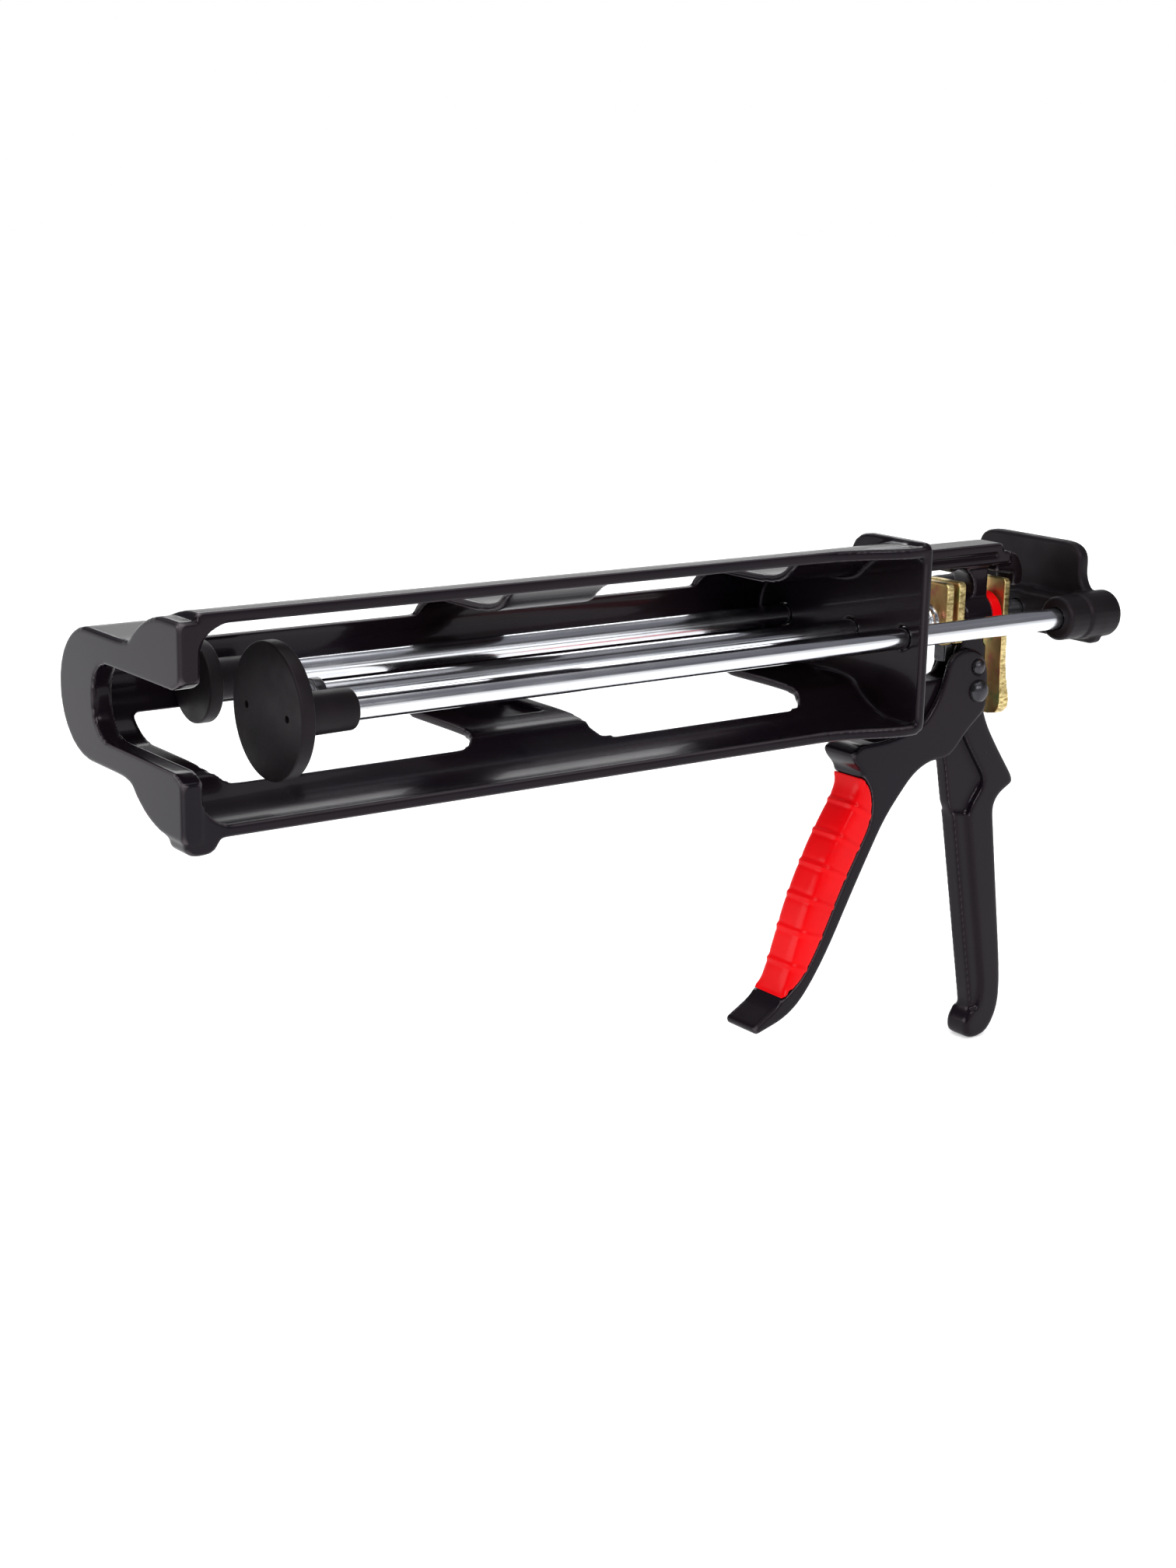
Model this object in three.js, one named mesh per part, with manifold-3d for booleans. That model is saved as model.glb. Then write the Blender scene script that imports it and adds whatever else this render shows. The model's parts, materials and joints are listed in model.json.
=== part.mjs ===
// Side-by-side two-cartridge caulking gun, in millimetres, +Z up.
// X runs along the rods, towards the yoke at the back. -Y is the side that the
// cartridges are loaded from. The origin lies on the front face of the bulkhead,
// at rod height, midway between the drive rod and the small push rod.
import * as THREE from 'three';
import { mergeVertices } from 'three/addons/utils/BufferGeometryUtils.js';
import Module from 'manifold-3d';

const wasm = await Module();
wasm.setup();

// ---- driving dimensions -------------------------------------------------
const GAP = 0.3;                    // between pieces that rest on each other
const ROD_R = 4;
const SLIDE_FIT = 0.3;              // radial room round a sliding rod
const ROD = {
  large: { y: -47, z: 1.2 },
  drive: { y: -19, z: 0 },
  small: { y: 19, z: 0 },
};

const BAY_FRONT = -292.5;           // outer face of the front plate
const FRONT_PLATE = 7.2;
const WALL = 3;
const RIM_Y = -49;                  // open edge of the cartridge bay
const RIM = 4;                      // height of the lip along that edge
const LARGE_LOBE = { y: -46, z: 1.3, r: 34.7 };
const SMALL_LOBE = { y: 14.9, z: 0.5, r: 21.7 };
const FRONT_LOBE = { y: -39.5, z: 0, r: 33.7 };
const BULKHEAD = { t: 4, near: -57.5, top: 37.4, bottom: -33.4 };
const FLARE_START = -32;            // where the lip starts to widen to the bulkhead
const NOZZLE_SLOT = { half: 12.5, end: -1 };

const BODY_Y = ROD.drive.y;         // the drive mechanism is built about this plane
const BODY_HALF = 6;
const BODY_FRONT = BULKHEAD.t + GAP;
const BACK_PLATE = 4.5;             // of the drive body, screwed to the bulkhead
const FORK_HALF = 3.7;              // room for the lower ends of the grip plates
const ARM_Z = [20, 28.3];
const BOSS = { x0: 52, x1: 66.2, r: 9.4 };

const PIVOT = { x: 61.3, z: -28.7, r: 3 };
const PUSHER = { x: 60.5, z: -19.1, r: 2.6 };
const TRIGGER_HALF = 8.8;
const CHEEK = 2.4;

const GRIP_PLATES = { x: [41.2, 47.4], t: 4, half: 9, top: 15, bottom: -9 };
const DRIVE_LUG = { half: 3.2, bottom: -17 };    // hangs under the rear grip plate
const RELEASE = { x: 72.6, t: 3, half: 8.5, top: 14.6 };

const LARGE_DISC = { r: 21.6, x: -262.7, t: 5, hub: 24.5, z: 3.5 };
const SMALL_DISC = { r: 13.8, x: -254.3, t: 5, hub: 24.5, z: 0 };
const HUB_R = 7;
const YOKE_X = 88;                  // front of the cross bar
const ROD_BACK = 103;

const COARSE = 16;
const FINE = 24;
const BAY_STEPS = 10;

// ---- helpers ------------------------------------------------------------
function solidOf(geometry) {
  const bare = geometry.clone();
  bare.deleteAttribute('normal');
  bare.deleteAttribute('uv');
  const merged = mergeVertices(bare, 1e-4);
  return new wasm.Manifold(new wasm.Mesh({
    numProp: 3,
    vertProperties: new Float32Array(merged.attributes.position.array),
    triVerts: new Uint32Array(merged.index.array),
  }));
}

function geometryOf(solid) {
  const mesh = solid.getMesh();
  const geometry = new THREE.BufferGeometry();
  geometry.setAttribute('position', new THREE.BufferAttribute(mesh.vertProperties, 3));
  geometry.setIndex(new THREE.BufferAttribute(mesh.triVerts, 1));
  geometry.computeVertexNormals();
  return geometry;
}

const join = (first, ...rest) => rest.reduce((sum, solid) => sum.add(solid), first);
const cut = (first, ...rest) => rest.reduce((left, solid) => left.subtract(solid), first);

// A closed outline through [a, b] corners; [a, b, r] rounds that corner.
function outline(corners) {
  const shape = new THREE.Shape();
  const count = corners.length;
  corners.forEach(([a, b, r = 0], i) => {
    const corner = new THREE.Vector2(a, b);
    const before = new THREE.Vector2(...corners[(i + count - 1) % count]).sub(corner);
    const after = new THREE.Vector2(...corners[(i + 1) % count]).sub(corner);
    const start = before.setLength(Math.min(r, before.length() * 0.48)).add(corner);
    const end = after.setLength(Math.min(r, after.length() * 0.48)).add(corner);
    if (i === 0) shape.moveTo(start.x, start.y);
    else shape.lineTo(start.x, start.y);
    if (r > 0) shape.quadraticCurveTo(a, b, end.x, end.y);
  });
  shape.closePath();
  return shape;
}

function box2(a0, b0, a1, b1, r = 0) {
  return outline([[a0, b0, r], [a1, b0, r], [a1, b1, r], [a0, b1, r]]);
}

// The outline extruded from 0 to depth, with its edges broken by bevel.
function slab(shape, depth, bevel, curveSegments) {
  const geometry = new THREE.ExtrudeGeometry(shape, {
    depth: depth - 2 * bevel,
    bevelEnabled: bevel > 0,
    bevelSize: bevel,
    bevelThickness: bevel,
    bevelOffset: -bevel,
    bevelSegments: bevel > 1 ? 3 : 1,
    curveSegments,
  });
  return geometry.translate(0, 0, bevel);
}

const AXES = {
  x: new THREE.Matrix4().set(0, 0, 1, 0, 1, 0, 0, 0, 0, 1, 0, 0, 0, 0, 0, 1),
  y: new THREE.Matrix4().set(1, 0, 0, 0, 0, 0, -1, 0, 0, 1, 0, 0, 0, 0, 0, 1),
  z: new THREE.Matrix4(),
};

// Extrusions along one axis: outlines are (y, z), (x, z) and (x, y) in turn.
function prismX(shape, x0, x1, bevel = 0, segments = 3) {
  return solidOf(slab(shape, x1 - x0, bevel, segments).applyMatrix4(AXES.x).translate(x0, 0, 0));
}
function prismY(shape, y0, y1, bevel = 0, segments = 3) {
  return solidOf(slab(shape, y1 - y0, bevel, segments).applyMatrix4(AXES.y).translate(0, y1, 0));
}
function prismZ(shape, z0, z1, bevel = 0, segments = 3) {
  return solidOf(slab(shape, z1 - z0, bevel, segments).applyMatrix4(AXES.z).translate(0, 0, z0));
}

// A turned piece: profile of [distance along the axis, radius] pairs.
function turned(profile, axis, centre, segments = COARSE) {
  const points = profile.map(([along, radius]) => new THREE.Vector2(radius, along));
  const geometry = new THREE.LatheGeometry(points, segments);
  if (axis === 'x') geometry.rotateZ(-Math.PI / 2);
  return solidOf(geometry.translate(...centre));
}

// A plain cylinder along X or Y, from start to end on that axis.
function rodX(y, z, radius, x0, x1, segments = COARSE) {
  return turned([[x0, 0], [x0, radius], [x1, radius], [x1, 0]], 'x', [0, y, z], segments);
}
function rodY(x, z, radius, y0, y1, segments = COARSE) {
  return turned([[y0, 0], [y0, radius], [y1, radius], [y1, 0]], 'y', [x, 0, z], segments);
}

// A coil round the drive rod, from x0 to x1.
function spring({ r, wire, turns }, x0, x1) {
  const path = new THREE.Curve();
  path.getPoint = (t) => {
    const angle = 2 * Math.PI * turns * t;
    const x = x0 + wire + (x1 - x0 - 2 * wire) * t;
    return new THREE.Vector3(x, BODY_Y + r * Math.cos(angle), r * Math.sin(angle));
  };
  const section = new THREE.Shape();
  section.absarc(0, 0, wire, 0, 2 * Math.PI);
  return solidOf(new THREE.ExtrudeGeometry(section, {
    extrudePath: path, steps: turns * 10, curveSegments: 2, bevelEnabled: false,
  }));
}

// ---- materials ----------------------------------------------------------
const finish = (color, roughness, metalness) => () =>
  new THREE.MeshStandardMaterial({ color, roughness, metalness });
const blackCoat = finish(0x1b181c, 0.35, 0.2);
const blackPlastic = finish(0x252326, 0.6, 0);
const redPlastic = finish(0xd60f1c, 0.45, 0);
const brightZinc = finish(0xc4c6cc, 0.22, 1);
const yellowZinc = finish(0xb99a4e, 0.35, 1);
const darkSteel = finish(0x202024, 0.4, 0.7);

const gun = new THREE.Group();
function addPiece(name, solid, material) {
  const mesh = new THREE.Mesh(geometryOf(solid), material());
  mesh.name = name;
  gun.add(mesh);
}

// ---- carriage: the casting that holds the two cartridges ------------------
// The section through the bay: a tall lobe on the open side runs into a low one.
function baySection(large, small, nearY) {
  const shape = new THREE.Shape();
  const leave = THREE.MathUtils.degToRad(44);
  const blendY = -2;
  const top = small.z + small.r;
  const bottom = small.z - small.r;
  const reach = (angle, z) => {
    const y = large.y + large.r * Math.cos(angle);
    const level = large.z + large.r * Math.sin(angle);
    return y + (level - z) * Math.tan(angle);
  };
  shape.moveTo(nearY, large.z - large.r);
  shape.lineTo(large.y, large.z - large.r);
  shape.absarc(large.y, large.z, large.r, -Math.PI / 2, -leave, false);
  shape.quadraticCurveTo(reach(-leave, bottom), bottom, blendY, bottom);
  shape.lineTo(small.y, bottom);
  shape.absarc(small.y, small.z, small.r, -Math.PI / 2, Math.PI / 2, false);
  shape.lineTo(blendY, top);
  shape.quadraticCurveTo(reach(leave, top), top, ...lobePoint(large, leave));
  shape.absarc(large.y, large.z, large.r, leave, Math.PI / 2, false);
  shape.lineTo(nearY, large.z + large.r);
  shape.closePath();
  return shape;
}

function lobePoint(lobe, angle) {
  return [lobe.y + lobe.r * Math.cos(angle), lobe.z + lobe.r * Math.sin(angle)];
}

const inset = (lobe, by) => ({ ...lobe, r: lobe.r - by });

function bayShell() {
  const outer = baySection(LARGE_LOBE, SMALL_LOBE, RIM_Y);
  const inner = baySection(inset(LARGE_LOBE, WALL), inset(SMALL_LOBE, WALL), RIM_Y - 20);
  const x0 = BAY_FRONT + FRONT_PLATE - 1;
  return cut(prismX(outer, x0, 1, 0, BAY_STEPS), prismX(inner, x0 - 1, 2, 0, BAY_STEPS));
}

// Lightening windows in the roof and the floor, on both sides of the middle rib.
function bayWindows() {
  const far = 45;
  const window = (x0, x1, near, z0, z1) => prismZ(box2(x0, near, x1, far, 9), z0, z1);
  return [
    window(-269.5, -161, -34, 12, 45), window(-122, -36, -34, 12, 45),
    window(-269.5, -171, -25.5, -45, -11), window(-125, -28, -28, -45, -11),
  ];
}

// The lip along the open edge, one strip on each side, flared out to the bulkhead.
function rimStrips() {
  const top = LARGE_LOBE.z + LARGE_LOBE.r;
  const bottom = LARGE_LOBE.z - LARGE_LOBE.r;
  const x0 = BAY_FRONT + FRONT_PLATE - 1;
  const inner = RIM_Y + WALL;
  const lip = outline([
    [x0, RIM_Y], [FLARE_START, RIM_Y, 12], [-8, BULKHEAD.near, 6], [1, BULKHEAD.near],
    [1, BULKHEAD.near + WALL], [-7, BULKHEAD.near + WALL, 6], [FLARE_START, inner, 12], [x0, inner],
  ]);
  const web = outline([
    [FLARE_START, RIM_Y], [-8, BULKHEAD.near, 6], [1, BULKHEAD.near], [1, -40], [FLARE_START, -40],
  ]);
  return [
    prismZ(lip, top - RIM, top, 0.6), prismZ(lip, bottom, bottom + RIM, 0.6),
    prismZ(web, top - WALL, top - 0.4), prismZ(web, bottom + 0.4, bottom + WALL),
  ];
}

function frontPlate() {
  const face = baySection(FRONT_LOBE, SMALL_LOBE, RIM_Y - 0.5);
  const { half, end } = NOZZLE_SLOT;
  const slot = outline([
    [-60, -half - 4], [RIM_Y - 0.5, -half - 3, 2], [-45, -half, 3], [end + half, -half, half],
    [end + half, half, half], [-45, half, 3], [RIM_Y - 0.5, half + 3, 2], [-60, half + 4],
  ]);
  const x1 = BAY_FRONT + FRONT_PLATE;
  return cut(prismX(face, BAY_FRONT, x1, 0.8, BAY_STEPS), prismX(slot, BAY_FRONT - 1, x1 + 1, 0, 6));
}

// Corner gussets behind the front plate, and the small foot under it.
function frontCorners() {
  const x1 = BAY_FRONT + FRONT_PLATE - 0.5;
  const top = LARGE_LOBE.z + LARGE_LOBE.r - RIM + 0.5;
  const bottom = LARGE_LOBE.z - LARGE_LOBE.r + RIM - 0.5;
  const upper = outline([[x1, top], [x1, top - 10], [x1 + 2.5, top - 3, 5], [x1 + 10, top]]);
  const lower = outline([[x1, bottom], [x1 + 10, bottom], [x1 + 2.5, bottom + 3, 5], [x1, bottom + 10]]);
  const foot = outline([
    [BAY_FRONT + 1, -32], [BAY_FRONT + 1, -36.5, 2], [BAY_FRONT + 4, -38.3, 2],
    [BAY_FRONT + 11, -38, 3], [BAY_FRONT + 14, -32],
  ]);
  return [
    prismY(upper, RIM_Y, RIM_Y + WALL), prismY(lower, RIM_Y, RIM_Y + WALL),
    prismY(foot, RIM_Y, RIM_Y + 12, 0.8),
  ];
}

function bulkheadPlate() {
  const { t, near, top, bottom } = BULKHEAD;
  const small = { top: SMALL_LOBE.z + SMALL_LOBE.r, bottom: SMALL_LOBE.z - SMALL_LOBE.r };
  const far = SMALL_LOBE.y + SMALL_LOBE.r;
  const face = outline([
    [near, bottom, 4], [-22, bottom, 8], [-16, small.bottom, 3], [far, small.bottom, 20],
    [far, small.top, 20], [-14, small.top, 3], [-19, top, 8], [near, top, 4],
  ]);
  return prismX(face, 0, t, 0.8);
}

// A shallow pocket sunk in a thickened pad on the floor rib.
function ribPad(floor) {
  return prismZ(box2(-162, -10, -129, 22, 2), floor - 2, floor + WALL - 0.2, 0.6);
}
function ribPocket(floor) {
  return prismZ(box2(-159, -7, -132, 19, 2), floor + 1, floor + 10);
}

function carriage() {
  const shell = cut(bayShell(), ...bayWindows());
  const floor = SMALL_LOBE.z - SMALL_LOBE.r;
  const whole = join(
    shell, ...rimStrips(), frontPlate(), ...frontCorners(), bulkheadPlate(), ribPad(floor),
  );
  const bores = Object.values(ROD).map(
    ({ y, z }) => rodX(y, z, ROD_R + SLIDE_FIT, -1, BULKHEAD.t + 1));
  const screwHoles = BODY_SCREWS.map(
    ([y, z]) => rodX(y, z, SCREW.shank + GAP, 1, BULKHEAD.t + 1, 12));
  return cut(whole, ...bores, ...screwHoles, ribPocket(floor));
}

// ---- drive body: guide arm, sleeve boss, fork and fixed handle ------------
const BODY_SCREWS = [[-28, -27], [-28, 25], [-10.5, -13], [-10.5, 13]];
const SCREW = { shank: 1.8, head: 2.9, headHeight: 2.6 };
const bodyY = (half) => [BODY_Y - half, BODY_Y + half];

// Flat plate against the bulkhead that carries the arm above and the link below.
function backPlate() {
  const face = outline([
    [-31.5, -31, 3], [-16, -31, 3], [-6.5, -19, 3], [-6.5, 19, 3], [-16, 29.3, 3], [-31.5, 29.3, 3],
  ]);
  return prismX(face, BODY_FRONT, BODY_FRONT + BACK_PLATE, 0.5);
}

function topArm() {
  const arm = outline([
    [BODY_FRONT + 1, ARM_Z[0]], [77.5, ARM_Z[0]], [77.5, 25, 1], [73.5, 25, 1], [72.5, ARM_Z[1], 1],
    [BODY_FRONT + 1, ARM_Z[1]],
  ]);
  const hook = outline([
    [71, ARM_Z[0] + 3], [71, ARM_Z[0] - 3], [80.6, 16, 1], [80.6, 10.5, 1], [86, 10.5, 2],
    [86, 18, 2], [82, 24, 2], [77, 24, 1],
  ]);
  const groove = box2(BODY_FRONT + 10, 23, 70, 24.6);
  const half = BODY_HALF + 0.6;
  return cut(
    join(prismY(arm, ...bodyY(half), 0.5), prismY(hook, ...bodyY(5), 0.6)),
    prismY(groove, BODY_Y - half - 1, BODY_Y - half + 1),
    prismY(groove, BODY_Y + half - 1, BODY_Y + half + 1),
  );
}

// The upright behind the grip plates, with the arch over their upper corners.
function upright() {
  const wall = outline([[44, ARM_Z[0] + 2], [54, 8], [54, -9], [BOSS.x1, -9], [BOSS.x1, ARM_Z[0] + 2]]);
  const arch = rodY(51, 11.5, 8, ...bodyY(BODY_HALF + 1), FINE);
  return join(
    cut(prismY(wall, ...bodyY(BODY_HALF - 0.5)), arch),
    turned([[BOSS.x0, 0], [BOSS.x0, BOSS.r - 1], [BOSS.x0 + 1, BOSS.r], [BOSS.x1, BOSS.r], [BOSS.x1, 0]],
      'x', [0, BODY_Y, 0], FINE),
  );
}

// Lower block and handle in one profile, seen from the side.
function handleProfile() {
  return outline([
    [BODY_FRONT + 1, -23], [46, -23, 5], [51, -20, 4], [52.8, -13, 3], [54, -7], [66, -7],
    [66, -10.2], [67.4, -11.5], [67.4, -20, 3], [66.8, -34, 4], [70.5, -43, 5], [77, -53, 6],
    [86.4, -66, 1.5], [87.6, -69.5, 1.5], [80, -73.5, 3], [77, -78, 4], [80.8, -105, 20],
    [87.8, -153, 16], [87, -166, 6], [81, -175.5, 5], [69.5, -176, 5], [68.6, -168.5, 3],
    [72.6, -163, 3], [56.7, -79, 3], [54.5, -75, 2], [51, -57, 4], [45, -42, 4], [40, -38, 4],
    [BODY_FRONT + 1, -38],
  ]);
}

// The front of the handle is thinner than its rear ridge: most of all at the shoulder.
function handleRecesses() {
  const shoulder = outline([
    [38, -44], [56.5, -43.3, 3], [60, -50, 4], [71, -66, 3], [69.5, -70, 3], [65, -75.5, 3],
    [63.5, -79.5, 1], [48, -77],
  ]);
  const strip = outline([
    [48, -76], [63, -79, 1], [77.3, -155, 4], [75, -164, 3], [60, -164],
  ]);
  return [[shoulder, 3], [strip, 2]].flatMap(([recess, depth]) => [
    prismY(recess, BODY_Y - BODY_HALF - 1, BODY_Y - BODY_HALF + depth),
    prismY(recess, BODY_Y + BODY_HALF - depth, BODY_Y + BODY_HALF + 1),
  ]);
}

// Where the drive lug and the drive dog move, open at the front.
function forkSpace() {
  const back = PUSHER.x + 4.3;
  return prismY(outline([
    [45, -9.6], [61, -9.6], [61, -12], [back, -12], [back, -24.2], [58.6, -24.2], [57, -27],
    [53, -27], [50, -23], [45, -23],
  ]), ...bodyY(FORK_HALF));
}

function driveBody() {
  const pusherSlot = box2(PUSHER.x - 7.3, PUSHER.z - 4.4, PUSHER.x + 3.1, PUSHER.z + 3.1, 2);
  const whole = join(
    backPlate(), topArm(), upright(), prismY(handleProfile(), ...bodyY(BODY_HALF), 1.4));
  const x1 = BODY_FRONT + BACK_PLATE;
  const screwHoles = BODY_SCREWS.map(
    ([y, z]) => rodX(y, z, SCREW.shank + GAP, BODY_FRONT - 1, x1 + 1, 12));
  const headRecess = BODY_SCREWS.map(([y, z]) => rodX(y, z, SCREW.head + GAP, x1, x1 + 4));
  return cut(
    whole, ...handleRecesses(), ...screwHoles, ...headRecess, forkSpace(),
    prismY(pusherSlot, ...bodyY(BODY_HALF + 1)),
    rodX(BODY_Y, 0, ROD_R + SLIDE_FIT, BODY_FRONT - 1, 70),
    rodY(PIVOT.x, PIVOT.z, PIVOT.r + GAP, ...bodyY(BODY_HALF + 1)),
  );
}

function bodyScrew(y, z) {
  const { shank, head, headHeight } = SCREW;
  const seat = BODY_FRONT + BACK_PLATE + GAP;
  const socket = 1.5;
  return turned([
    [1.5, 0], [1.5, shank], [seat, shank], [seat, head], [seat + headHeight, head],
    [seat + headHeight, socket], [seat + 1, socket], [seat + 1, 0],
  ], 'x', [0, y, z], 12);
}

// ---- rods, discs and yoke --------------------------------------------------
const TAP = { r: 2.8, depth: 12 };
const DRIVE_ROD_FRONT = -232;

// Each rod is tapped at the back for the screw that holds it in the yoke.
function pushRod({ y, z }, front) {
  return turned([
    [front, 0], [front, ROD_R - 0.6], [front + 0.6, ROD_R], [ROD_BACK, ROD_R],
    [ROD_BACK, TAP.r], [ROD_BACK - TAP.depth, TAP.r], [ROD_BACK - TAP.depth, 0],
  ], 'x', [0, y, z], FINE);
}

// A disc on a hub; the hub is on the rod, and the disc may sit off its centre.
function pistonDisc(disc, rod) {
  const back = disc.x + disc.t;
  const end = back + disc.hub;
  const plate = turned([
    [disc.x, 0], [disc.x, disc.r - 0.5], [disc.x + 0.5, disc.r], [back - 0.8, disc.r],
    [back, disc.r - 0.8], [back, 0],
  ], 'x', [0, rod.y, disc.z], 36);
  const hub = turned([
    [disc.x + 1, 0], [disc.x + 1, HUB_R], [end - 0.8, HUB_R - 0.3], [end, HUB_R - 1.1], [end, 0],
  ], 'x', [0, rod.y, rod.z], FINE);
  return cut(join(plate, hub), rodX(rod.y, rod.z, ROD_R + GAP, disc.x + 2.9, end + 1));
}

// Two blind holes for the pin wrench that tightens the large disc on its rod.
function largeDisc() {
  const pinCircle = 12.6;
  const lift = 1.6;
  const slope = 0.13;
  const holes = [-pinCircle, pinCircle].map((dy) => rodX(
    ROD.large.y + dy, LARGE_DISC.z + lift + slope * dy, 1.2, LARGE_DISC.x - 1, LARGE_DISC.x + 2, 12));
  return cut(pistonDisc(LARGE_DISC, ROD.large), ...holes);
}

function driveRodStop() {
  const x1 = DRIVE_ROD_FRONT + 4;
  const ring = [
    [DRIVE_ROD_FRONT, ROD_R + GAP], [DRIVE_ROD_FRONT, 5.2], [DRIVE_ROD_FRONT + 0.4, 5.6],
    [x1, 5.6], [x1, ROD_R + GAP],
  ];
  return turned([...ring, ring[0]], 'x', [0, BODY_Y, 0], FINE);
}

const YOKE_SCREW = { shank: 2.4, head: 5, headHeight: 2.6 };
const BARREL_BACK = 109;
const SOCKET_BACK = 106;

// Cross bar with a socket for each rod and an upright plate to pull it back by.
function yoke() {
  const barrel = ({ y, z }) => turned([
    [81, 0], [81, 7.6], [82, 8.6], [91.4, 8.6], [91.7, 8.2], [92.5, 8.2], [92.9, 9.2],
    [BARREL_BACK - 1, 9.2], [BARREL_BACK, 8.2], [BARREL_BACK, 0],
  ], 'x', [0, y, z], FINE);
  const middle = turned([
    [YOKE_X + 1, 0], [YOKE_X + 1, 8.2], [SOCKET_BACK - 1, 8.2], [SOCKET_BACK, 7.4], [SOCKET_BACK, 0],
  ], 'x', [0, BODY_Y, 0], FINE);
  const bar = box2(ROD.large.y, -7.6, ROD.small.y, 7.6, 2.4);
  const pull = outline([
    [-42.5, 28.3, 10], [13, 28.3, 10], [13, 13, 5], [24, 6, 4], [24, -4, 4],
    [-26, -10, 4], [-52, -10, 4], [-52, 6, 4], [-42.5, 13, 5],
  ]);
  const whole = join(
    barrel(ROD.large), barrel(ROD.small), middle,
    prismX(bar, YOKE_X, 102, 1), prismX(pull, 97.8, 103.4, 1, 6),
  );
  const sockets = Object.values(ROD).flatMap(({ y, z }) => [
    rodX(y, z, ROD_R + GAP, 70, ROD_BACK + GAP),
    rodX(y, z, YOKE_SCREW.shank + GAP, ROD_BACK, BARREL_BACK + 5),
  ]);
  return cut(whole, ...sockets);
}

function yokeScrew({ y, z }, seat) {
  const { shank, head, headHeight } = YOKE_SCREW;
  const back = seat + GAP + headHeight;
  const socket = 1.7;
  return turned([
    [ROD_BACK - TAP.depth + 1, 0], [ROD_BACK - TAP.depth + 1, shank], [seat + GAP, shank],
    [seat + GAP, head], [back - 1.4, head - 0.3], [back, head - 2], [back, socket],
    [back - 1.6, socket], [back - 1.6, 0],
  ], 'x', [0, y, z]);
}

// ---- drive mechanism ------------------------------------------------------
function gripPlate(x0) {
  const { t, half, top, bottom } = GRIP_PLATES;
  const face = box2(BODY_Y - half, bottom, BODY_Y + half, top, 2);
  return cut(prismX(face, x0, x0 + t, 0.5), rodX(BODY_Y, 0, ROD_R + 0.35, x0 - 1, x0 + t + 1));
}

// The dog pushes on this lug, and so on the grip plates.
function driveLug() {
  const { half, bottom } = DRIVE_LUG;
  const face = box2(BODY_Y - half, bottom, BODY_Y + half, GRIP_PLATES.bottom - GAP, 1.2);
  return prismX(face, GRIP_PLATES.x[1], GRIP_PLATES.x[1] + GRIP_PLATES.t, 0.4);
}

const MAIN_SPRING = { r: 6.6, wire: 0.8, turns: 9 };
const BRAKE_SPRING = { r: 6, wire: 0.5, turns: 3 };

// Red cup on the back of the boss, holding the brake spring.
function springCup() {
  const x0 = BOSS.x1 + GAP;
  const ring = [
    [x0, ROD_R + 0.6], [x0, 9], [x0 + 0.3, 9.3], [x0 + 4.5, 9.3], [x0 + 4.8, 9], [x0 + 4.8, 7.2],
    [x0 + 1, 7.2], [x0 + 1, ROD_R + 0.6],
  ];
  return turned([...ring, ring[0]], 'x', [0, BODY_Y, 0], FINE);
}

// Brake plate: hangs under the hook of the arm and ends in a wide thumb tail.
function releasePlate() {
  const { x, t, half, top } = RELEASE;
  const side = outline([
    [x, top, 0.8], [x + t, top, 0.8], [x + t, -22, 12], [x + t + 2.4, -37, 4], [x + t + 1.4, -40],
    [x + 1.4 - 1, -40], [x - 0.4, -34, 4], [x, -22, 12],
  ]);
  const face = outline([
    [-half, top, 2], [half, top, 2], [half, -22, 8], [half + 2, -40, 8], [-half - 2, -40, 8],
    [-half, -22, 8],
  ].map(([y, z, r]) => [BODY_Y + y, z, r]));
  const blank = prismY(side, ...bodyY(half + 3)).intersect(prismX(face, x - 4, x + t + 6));
  return cut(blank, rodX(BODY_Y, 0, ROD_R + 0.6, x - 5, x + t + 5));
}

// Block on the pusher pin whose nose drives the lug and the grip plates forward.
function driveDog() {
  const { x, z, r } = PUSHER;
  const side = outline([
    [x - 8.4, z + 4.6, 2], [x - 7.8, z + 9, 2], [x - 4, z + 9, 2], [x + 3.9, z + 3.9, 3.5],
    [x + 3.9, z - 3.9, 3.5], [x - 3, z - 3.9, 3],
  ]);
  return cut(prismY(side, ...bodyY(FORK_HALF - 0.4), 0.4), rodY(x, z, r + GAP, ...bodyY(BODY_HALF)));
}

// ---- trigger ---------------------------------------------------------------
const TRIGGER_FRONT = [[1.8, -62.5], [-9.7, -79.4], [-21, -102.5], [-28.6, -126]];
const SLEEVE_WALL = 2.4;

function triggerProfile(frontInset) {
  const front = TRIGGER_FRONT.map(([x, z]) => [x + frontInset, z, 10]).reverse();
  return outline([
    [-3.5, -46.5, 1.5], [1, -43.5, 2], [13, -43.3, 3], [24, -41.5, 5], [33.4, -38.4, 4],
    [39.1, -31.4, 4], [43, -23.5, 4], [45.5, -14.5, 4], [50, -11.8, 4], [58, -11.2, 4],
    [64.5, -15.5, 4], [66.4, -22, 4], [66.5, -36.5, 3], [57, -44.2, 3], [48, -54, 5], [38, -53.9, 4],
    [29, -58, 6], [15.5, -73.2, 8], [1.8, -97.5, 12], [-12.5, -124.7, 12], [-23.4, -139.9, 8],
    [-32, -146, 5], [-46, -150, 1.5], [-47.2, -147, 1.5], [-34, -139.5, 5], ...front,
    [2.8, -54.5, 3], [-1.8, -49.8, 2],
  ]);
}

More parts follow.
